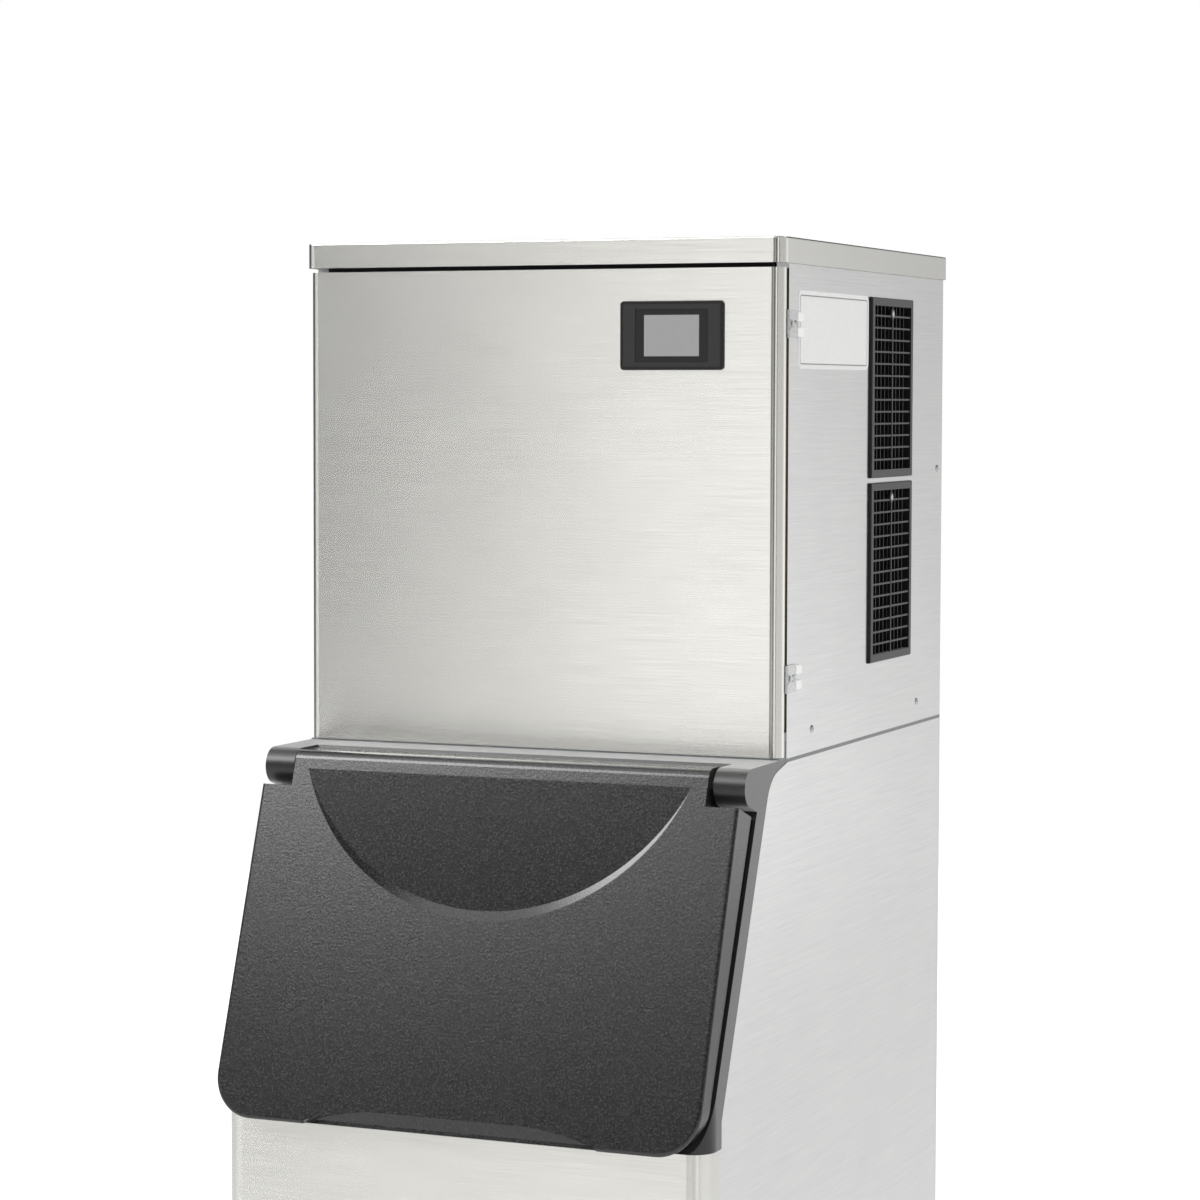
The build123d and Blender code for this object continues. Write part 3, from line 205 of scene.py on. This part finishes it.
def framed_face(name, code_inside, code_outside, centre, half_size, roughness):
    """Gloss moulding or glass seen from the front: one tone inside a rectangle in X and Z, another round it:
    inside where both distances from the centre are under the half sizes."""
    material, tree, shader = new_finish(name, Metallic=0.0, Roughness=roughness, IOR=1.5)
    here = add_node(tree, "TexCoord")
    parts = add_node(tree, "SeparateXYZ", None, {"Vector": here.outputs["Object"]})
    gaps = []
    for axis, middle, reach in zip("XZ", centre, half_size):
        away = add_node(tree, "Math", {"operation": "SUBTRACT"}, {0: parts.outputs[axis], 1: middle})
        size = add_node(tree, "Math", {"operation": "ABSOLUTE"}, {0: away.outputs[0]})
        past = add_node(tree, "Math", {"operation": "SUBTRACT"}, {0: size.outputs[0], 1: reach})
        gaps.append(past.outputs[0])
    worst = add_node(tree, "Math", {"operation": "MAXIMUM"}, {0: gaps[0], 1: gaps[1]})
    edge = add_node(tree, "MapRange", None, {"Value": worst.outputs[0], "From Min": -EDGE_BLUR,
                                             "From Max": EDGE_BLUR})
    haze = noise(tree, place_scaled(tree, [90.0] * 3))
    step = add_node(tree, "Math", {"operation": "MULTIPLY_ADD"}, {0: haze, 1: 0.06, 2: edge.outputs[0]})
    tree.links.new(ramp(tree, step.outputs[0], [(0.0, code_inside), (1.0, code_outside)]),
                   shader.inputs["Base Color"])
    return material


def clear_flap(name):
    """Moulded translucent polypropylene, milky and soft at the edges."""
    material, tree, shader = new_finish(name, Metallic=0.0, Roughness=0.3, IOR=1.49, Transmission_Weight=0.6)
    haze = noise(tree, place_scaled(tree, [1 / (6 * MM)] * 3))
    tree.links.new(ramp(tree, haze, [(0.3, "#DDE6EA"), (0.7, "#EEF3F5")]), shader.inputs["Base Color"])
    return material


SCREEN_CENTRE = (155.85 * MM, bin_top + 450.95 * MM)
SCREEN_HALF = (31.5 * MM, 22.0 * MM)
BEZEL_CENTRE = (155.8 * MM, bin_top + 451.1 * MM)
BEZEL_HALF = (55.5 * MM, 33.4 * MM)
stainless_front = brushed_stainless("brushed_stainless_front", "#DAD9D4", "#E8E7E2", "X", 0.22)
stainless_side = brushed_stainless("brushed_stainless_side", "#DEDEDE", "#E9E9E8", "Y", 0.24)
black_door = textured_moulding("textured_black_polyethylene", "#030303", "#2E2E2E", 2.4, 0.12, 0.19,
                               gloss=0.72)
black_frame = textured_moulding("smooth_black_polyethylene", "#0C0C0C", "#131313", 1.4, 0.04, 0.36, 1.0, 0.7)
black_grille = textured_moulding("moulded_black_abs", "#131314", "#1B1B1C", 0.8, 0.03, 0.42, 0.2, 0.35)
grey_liner = textured_moulding("moulded_grey_polyethylene", "#77797C", "#86888B", 2.5, 0.1, 0.5)
white_liner = textured_moulding("moulded_white_abs", "#DCDFE0", "#E8EAEA", 2.5, 0.05, 0.42)
foam = textured_moulding("rigid_urethane_foam", "#C9B67E", "#DCCB98", 2.0, 0.4, 0.85)
rubber = textured_moulding("black_neoprene", "#101010", "#1A1A1A", 1.2, 0.08, 0.7)
nylon = textured_moulding("moulded_white_nylon", "#F0F0EE", "#F7F7F5", 1.5, 0.02, 0.3)
vinyl = textured_moulding("white_vinyl_label", "#E4E4E3", "#EAEAE9", 3.0, 0.01, 0.35)
grey_ink = textured_moulding("grey_printed_line", "#7C7C7C", "#868686", 1.0, 0.01, 0.4)
zinc = spangled_zinc("galvanised_sheet")
bright_steel = plain_metal("zinc_plated_steel", "#B9BABA", "#D8D9D9", 0.25)
copper = plain_metal("drawn_copper_tube", "#A4623F", "#C98660", 0.3, 4.0)
tinned = plain_metal("nickel_plated_copper", "#B3B5B6", "#CFD0D1", 0.3, 3.0)
aluminium = plain_metal("rolled_aluminium_fin", "#6E7173", "#8A8D8F", 0.5, 2.0)
brass = plain_metal("turned_brass", "#B08D4A", "#CDAF6C", 0.3, 2.0)
black_enamel = enamel("black_baked_enamel", "#131314", "#1D1D1F")
bezel_gloss = framed_face("moulded_gloss_black_abs", "#292929", "#0B0B0B", BEZEL_CENTRE, BEZEL_HALF, 0.35)
board_green = enamel("solder_masked_board", "#123D25", "#1B5334", 0.35)
screen_grey = framed_face("display_glass_over_grey_film", "#A0A0A0", "#101010", SCREEN_CENTRE, SCREEN_HALF,
                          0.3)
clear = clear_flap("translucent_polypropylene")

finishes = {
    stainless_front: ("head_door_pan", "head_lid", "bin_front_panel"),
    stainless_side: ("head_left_panel", "head_right_panel", "bin_left_panel", "bin_right_panel"),
    black_door: ("bin_door_shell",),
    black_frame: ("bin_door_frame",),
    black_grille: ("upper_grille", "lower_grille", "cable_gland", "fan_blades", "water_pump"),
    grey_liner: ("bin_liner", "bin_door_lining", "bin_drain", "drain_strainer"),
    white_liner: ("wet_liner", "evaporator_frame", "water_distributor", "water_sump", "head_drain"),
    foam: ("bin_foam", "bin_door_core", "head_door_pad"),
    rubber: ("head_seal", "compressor_mounts", "pump_hose"),
    zinc: ("bin_rear_panel", "bin_base", "head_base", "head_rear_panel", "divider_wall", "control_box",
           "control_cover", "fan_shroud"),
    bright_steel: ("bin_legs", "bin_hinge_pins", "grille_screws", "panel_screws", "head_hinge_leaves",
                   "head_door_leaves", "head_hinge_pins"),
    copper: ("evaporator_coil", "discharge_pipe", "liquid_pipe", "feed_pipe", "suction_pipe", "filter_drier"),
    tinned: ("evaporator",),
    aluminium: ("condenser",),
    brass: ("water_inlet",),
    black_enamel: ("compressor", "fan_motor"),
    bezel_gloss: ("display_bezel",),
    board_green: ("control_board",),
    screen_grey: ("display_screen",),
    clear: ("water_curtain", "water_tube"),
}
for material, names in finishes.items():
    for name in names:
        nodes[name].data.materials.clear()
        nodes[name].data.materials.append(material)


# Pieces

def skin_loops(name, loops, material, body, second=None, inked=()):
    """Closed bodies skinned over stacks of closed loops, bodies by loops by points: quads between
    neighbouring loops and one flat face on each end. Loops named in inked carry the second material."""
    bodies, stack, count = loops.shape[:3]
    index = np.arange(bodies * stack * count).reshape(bodies, stack, count)
    low, high = index[:, :-1], index[:, 1:]
    quads = np.stack([low, np.roll(low, -1, 2), np.roll(high, -1, 2), high], axis=-1)
    ends = np.concatenate([index[:, 0, ::-1], index[:, -1]])
    mesh = bpy.data.meshes.new(name)
    mesh.from_pydata(loops.reshape(-1, 3).tolist(), [], quads.reshape(-1, 4).tolist() + ends.tolist())
    mesh.materials.append(material)
    if second:
        mesh.materials.append(second)
        ring = np.zeros((bodies, stack - 1, count), dtype=int)
        ring[:, list(inked)] = 1
        mesh.polygons.foreach_set("material_index", np.concatenate([ring.ravel(), np.zeros(len(ends), int)]))
    mesh.shade_smooth()
    mesh.set_sharp_from_angle(angle=radians(32))
    piece = bpy.data.objects.new(name, mesh)
    bpy.context.scene.collection.objects.link(piece)
    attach(piece, body)
    return piece


def stand(flat, centre, across, up, out):
    """Points given as across, up and out in millimetres, stood at a centre in the head's own millimetres:
    across the machine, behind the head's front and above the bin's top edge. The place is the centre plus
    each number times its direction."""
    x, dy, dz = centre
    origin = np.array([x * MM, head_front + dy * MM, bin_top + dz * MM])
    return origin + MM * (flat @ np.array([across, up, out], dtype=float))


# Across, up and out for a piece on the machine's right, left and front
RIGHT = ((0, 1, 0), (0, 0, 1), (1, 0, 0))
LEFT = ((0, -1, 0), (0, 0, 1), (-1, 0, 0))
FRONT = ((1, 0, 0), (0, 0, 1), (0, -1, 0))


def rounded_plate(width, height, corner, profile, steps=12):
    """Plate with round corners: every point of a loop is the corner centre plus a quarter circle, drawn in by
    the profile's inset and raised to the profile's height. Profile rows are inset and height."""
    quarter = np.linspace(0, pi / 2, steps)
    angle = np.concatenate([quarter + k * pi / 2 for k in range(4)])
    corner_x = np.repeat([1, -1, -1, 1], steps) * (width / 2 - corner)
    corner_y = np.repeat([1, 1, -1, -1], steps) * (height / 2 - corner)
    inset, lift = np.array(profile, dtype=float).T[:, :, None]
    reach = np.maximum(corner - inset, 0.05)
    shrink = np.maximum(inset - corner + 0.05, 0)
    x = corner_x - np.sign(corner_x) * shrink + reach * np.cos(angle)
    y = corner_y - np.sign(corner_y) * shrink + reach * np.sin(angle)
    return np.stack([x, y, np.broadcast_to(lift, x.shape)], axis=-1)


def cross_head(radius, rise, steps=48, rings=14):
    """Round screw head: the height falls off as the radius to the power 2.4, less a cross-shaped recess whose
    arms are smooth steps in the smaller of the two distances from the arms' middle lines."""
    share = np.concatenate([[1.0], np.linspace(1.0, 0.02, rings)])[:, None]
    angle = np.linspace(0, 2 * pi, steps, endpoint=False)
    x = radius * share * np.cos(angle)
    y = radius * share * np.sin(angle)
    dome = rise * (0.35 + 0.65 * (1 - share ** 2.4)) * np.ones_like(x)
    arm = np.clip((0.2 * radius - np.minimum(abs(x), abs(y))) / (0.08 * radius), 0, 1)
    reach = np.clip((0.62 - share) / 0.08, 0, 1)
    height = dome - 0.7 * rise * arm * reach
    height[0] = -0.05
    return np.stack([x, y, height], axis=-1)


# Bare plate on the right side, with its thin printed border. Profile rows are inset and height in mm; the
# quads above loop 4 are the border
PLATE_SIZE = (239, 84, 9)
PLATE_PROFILE = [(0, 0), (0, 0.3), (0.25, 0.5), (4.6, 0.5), (4.7, 0.46), (6.0, 0.46), (6.1, 0.5), (9.0, 0.5)]
PLATE_BORDER = (4,)
plate = stand(rounded_plate(*PLATE_SIZE, PLATE_PROFILE), (SIDE_FACE, 171.5, 458), *RIGHT)
skin_loops("label_plate", plate[None], vinyl, "cabinet", grey_ink, PLATE_BORDER)

# Screws with cross recesses, as radius and rise in mm: sides of the head, louvres and hinge leaves
PANEL_SCREW = (4.2, 1.8)
PANEL_SCREW_PLACES = ((103.7, 25.0), (484.4, 23.5), (560.0, 300.0))
LOUVRE_SCREW = (3.6, 0.9)
LOUVRE_SCREW_HEIGHTS = (270.0, 481.5)
HINGE_SCREW = (4.4, 1.2)
panel_heads = [stand(cross_head(*PANEL_SCREW), (side * SIDE_FACE, dy, dz), *turn)
               for side, turn in ((-1, LEFT), (1, RIGHT)) for dy, dz in PANEL_SCREW_PLACES]
panel_screws = skin_loops("panel_screw_heads", np.array(panel_heads), bright_steel, "cabinet")
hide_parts("panel_screws")
grille_heads = [stand(cross_head(*LOUVRE_SCREW), (LOUVRE_FACE, 375, dz), *RIGHT)
                for dz in LOUVRE_SCREW_HEIGHTS]
skin_loops("grille_screw_heads", np.array(grille_heads), bright_steel, "cabinet")
hinge_heads = [stand(cross_head(*HINGE_SCREW), (LEAF_FACE, 38.5, dz), *RIGHT) for dz in HINGE_HEIGHTS]
skin_loops("hinge_screw_heads", np.array(hinge_heads), bright_steel, "cabinet")

# White nylon pads at the ends of the hinge leaves, one above and one below the leaf's middle
PAD_SIZE = (19, 10.5, 3)
PAD_PROFILE = [(0, 0), (0, 1.7), (0.3, 2.2), (1.0, 2.4), (2.5, 2.5)]
PAD_SHIFTS = (-8.25, 8.25)
pads = [stand(rounded_plate(*PAD_SIZE, PAD_PROFILE), (SIDE_FACE, 55.5, dz + shift), *RIGHT)
        for dz in HINGE_HEIGHTS for shift in PAD_SHIFTS]
skin_loops("hinge_pads", np.array(pads), nylon, "cabinet")

# Black strip behind the gap between lid and door: painted shade, a dark sheet that stands for the shade
# inside the gap
SHADE_STRIP_SIZE = (528, 40, 3)
SHADE_STRIP_PROFILE = [(0, 0), (0, 4.6), (0.5, 5.6), (1.5, 6.0), (3.0, 6.1)]
shade_strip = stand(rounded_plate(*SHADE_STRIP_SIZE, SHADE_STRIP_PROFILE), (0, 21.2, 525), *FRONT)
skin_loops("gap_shade_strip", shade_strip[None], rubber, "cabinet")


# Studio: pale floor, soft lamps and a camera where the photographer's stood

FLOOR_RADIUS = 6.0
# Glow added to the floor where the camera sees it, and where the steel mirrors it
FLOOR_SEEN = 0.55
FLOOR_MIRRORED = 0.14


def studio_floor():
    """Flat disc far wider than the object, a circle of points closed by one face; the camera sees it white
    apart from the object's shadow."""
    steps = 64
    angle = np.linspace(0, 2 * pi, steps, endpoint=False)
    ring = np.stack([FLOOR_RADIUS * np.cos(angle), FLOOR_RADIUS * np.sin(angle), np.zeros(steps)], axis=1)
    mesh = bpy.data.meshes.new("floor")
    mesh.from_pydata(ring.tolist(), [], [list(range(steps))])
    floor = bpy.data.objects.new("floor", mesh)
    bpy.context.scene.collection.objects.link(floor)
    material, tree, shader = new_finish("white_paper_floor", Roughness=0.9)
    speck = noise(tree, place_scaled(tree, [300.0] * 3))
    tree.links.new(ramp(tree, speck, [(0.3, "#E6E6E6"), (0.7, "#EAEAEA")]), shader.inputs["Base Color"])
    rays = add_node(tree, "LightPath")
    seen = add_node(tree, "Math", {"operation": "MAXIMUM"}, {0: rays.outputs["Is Camera Ray"],
                                                             1: rays.outputs["Is Transmission Ray"]})
    mirrored = add_node(tree, "Math", {"operation": "MULTIPLY"},
                        {0: rays.outputs["Is Glossy Ray"], 1: FLOOR_MIRRORED})
    glow = add_node(tree, "Math", {"operation": "MULTIPLY_ADD"},
                    {0: seen.outputs[0], 1: FLOOR_SEEN, 2: mirrored.outputs[0]})
    tree.links.new(glow.outputs[0], shader.inputs["Emission Strength"])
    mesh.materials.append(material)


def soft_lamp(name, place, aim, size, watts):
    """Square softbox at a place, turned to a point."""
    lamp = bpy.data.lights.new(name, "AREA")
    lamp.shape = "SQUARE"
    lamp.size = size
    lamp.energy = watts
    made = bpy.data.objects.new(name, lamp)
    bpy.context.scene.collection.objects.link(made)
    made.location = place
    made.rotation_euler = (Vector(aim) - Vector(place)).to_track_quat("-Z", "Y").to_euler()
    made.visible_glossy = False


def studio_world():
    """White room: even light for matt surfaces. For mirror rays its brightness is a band round the compass,
    with dark cards beside the camera, times a band in height, plus a softbox over the front."""
    world = bpy.data.worlds.new("studio")
    bpy.context.scene.world = world
    world.use_nodes = True
    tree = world.node_tree
    background = tree.nodes["Background"]
    rays = add_node(tree, "LightPath")
    here = add_node(tree, "TexCoord")
    parts = add_node(tree, "SeparateXYZ", None, {"Vector": here.outputs["Generated"]})
    compass = add_node(tree, "Math", {"operation": "ARCTAN2"}, {0: parts.outputs["X"], 1: parts.outputs["Y"]})
    turn = add_node(tree, "MapRange", None, {"Value": compass.outputs[0], "From Min": -pi, "From Max": pi})
    rise = add_node(tree, "MapRange", None, {"Value": parts.outputs["Z"], "From Min": -1.0, "From Max": 1.0})
    walls = add_node(tree, "Mix", {"data_type": "RGBA", "blend_type": "MULTIPLY"},
                     {"Factor": 1.0, "A": ramp(tree, turn.outputs["Result"], ROOM),
                      "B": ramp(tree, rise.outputs["Result"], WALLS)})
    box = add_node(tree, "Mix", {"data_type": "RGBA", "blend_type": "MULTIPLY"},
                   {"Factor": 1.0, "A": ramp(tree, turn.outputs["Result"], BOX_ROUND),
                    "B": ramp(tree, rise.outputs["Result"], BOX_UP)})
    glow = add_node(tree, "VectorMath", {"operation": "SCALE"}, {0: box.outputs["Result"], "Scale": BOX_GAIN})
    room = add_node(tree, "Mix", {"data_type": "RGBA", "blend_type": "ADD"},
                    {"Factor": 1.0, "A": walls.outputs["Result"], "B": glow.outputs[0]})
    bright = add_node(tree, "VectorMath", {"operation": "SCALE"},
                      {0: room.outputs["Result"], "Scale": ROOM_GAIN})
    mirror = add_node(tree, "Mix", {"data_type": "RGBA"}, {"Factor": rays.outputs["Is Glossy Ray"],
                                                           "A": tint("#FFFFFF"), "B": bright.outputs[0]})
    soft = add_node(tree, "Mix", {"data_type": "RGBA"}, {"Factor": rays.outputs["Is Diffuse Ray"],
                                                         "A": mirror.outputs["Result"], "B": tint("#D0D0D0")})
    tree.links.new(soft.outputs["Result"], background.inputs["Color"])
    background.inputs["Strength"].default_value = 1.0


# Compass position 0 and 1 face the front, 0.25 the left, 0.5 the back and 0.75 the right
ROOM = [(0.0, "#787672"), (0.01, "#787672"), (0.018, "#211E1B"), (0.032, "#211E1B"), (0.042, "#BCBCBC"),
        (0.059, "#BCBCBC"), (0.068, "#909090"), (0.08, "#383838"), (0.1, "#404040"), (0.12, "#989898"),
        (0.2, "#989898"), (0.24, "#3A3A3A"), (0.44, "#3A3A3A"), (0.5, "#7A7A7A"), (0.547, "#868686"),
        (0.554, "#949494"), (0.558, "#A4A4A4"), (0.566, "#B8B8B8"), (0.62, "#B0B0B0"), (0.7, "#909090"),
        (0.86, "#909090"), (0.885, "#2A2A2A"), (0.9, "#BCBCBC"), (0.925, "#BCBCBC"), (0.94, "#211E1B"),
        (0.975, "#211E1B"), (0.985, "#787672"), (1.0, "#787672")]
# Height position 0 is straight down, 0.5 level and 1 straight up
WALLS = [(0.0, "#BCBCBC"), (0.4, "#BCBCBC"), (0.425, "#E4E4E4"), (0.455, "#C0C0C0"), (0.5, "#BCBCBC"),
         (0.56, "#A0A0A0"), (0.63, "#747474"), (0.67, "#000000"), (1.0, "#000000")]
# Softbox overhead, brighter to the left of the camera
BOX_ROUND = [(0.0, "#606060"), (0.06, "#646464"), (0.076, "#8C8C8C"), (0.09, "#FFFFFF"), (0.18, "#FFFFFF"),
             (0.3, "#808080"), (0.5, "#606060"), (1.0, "#606060")]
BOX_UP = [(0.0, "#000000"), (0.71, "#000000"), (0.724, "#303030"), (0.746, "#FFFFFF"), (0.84, "#FFFFFF"),
          (0.9, "#707070"), (1.0, "#707070")]
ROOM_GAIN = 5.2
BOX_GAIN = 2.1

# Camera found by fitting the head's and the bin's corners to the photograph
CAMERA_PLACE = (1.47884, -3.53667, 1.36578)
CAMERA_YAW = radians(22.684)
CAMERA_PITCH = radians(3.452)
CAMERA_ROLL = radians(0.1416)
FOCAL_PX = 3373.16
FRAME_PX = 1200
SENSOR = 36.0


def studio_camera():
    """Camera at the photograph's angle: forward from yaw and pitch, right level with the floor, up square to
    both, then rolled."""
    lens = bpy.data.cameras.new("camera")
    lens.sensor_width = SENSOR
    lens.lens = FOCAL_PX / FRAME_PX * SENSOR
    lens.clip_start = 0.05
    lens.clip_end = 100
    made = bpy.data.objects.new("camera", lens)
    bpy.context.scene.collection.objects.link(made)
    forward = Vector((-sin(CAMERA_YAW) * cos(CAMERA_PITCH), cos(CAMERA_YAW) * cos(CAMERA_PITCH),
                      -sin(CAMERA_PITCH)))
    right = Vector((cos(CAMERA_YAW), sin(CAMERA_YAW), 0))
    up = right.cross(forward)
    tilted = Matrix((right, up, -forward)).transposed().to_4x4()
    made.matrix_world = Matrix.Translation(CAMERA_PLACE) @ tilted @ Matrix.Rotation(CAMERA_ROLL, 4, "Z")
    bpy.context.scene.camera = made


# Name, place, aim, size and watts
LAMPS = [("key", (-1.8, -3.2, 3.0), (0, 0, 0.9), 2.2, 45),
         ("fill", (3.2, -1.2, 1.6), (0, 0, 0.9), 2.2, 28),
         ("top", (0, 0.2, 4.0), (0, 0, 1.0), 2.5, 35)]

studio_floor()
studio_world()
for lamp_row in LAMPS:
    soft_lamp(*lamp_row)
studio_camera()
bpy.context.scene.view_settings.view_transform = "Standard"
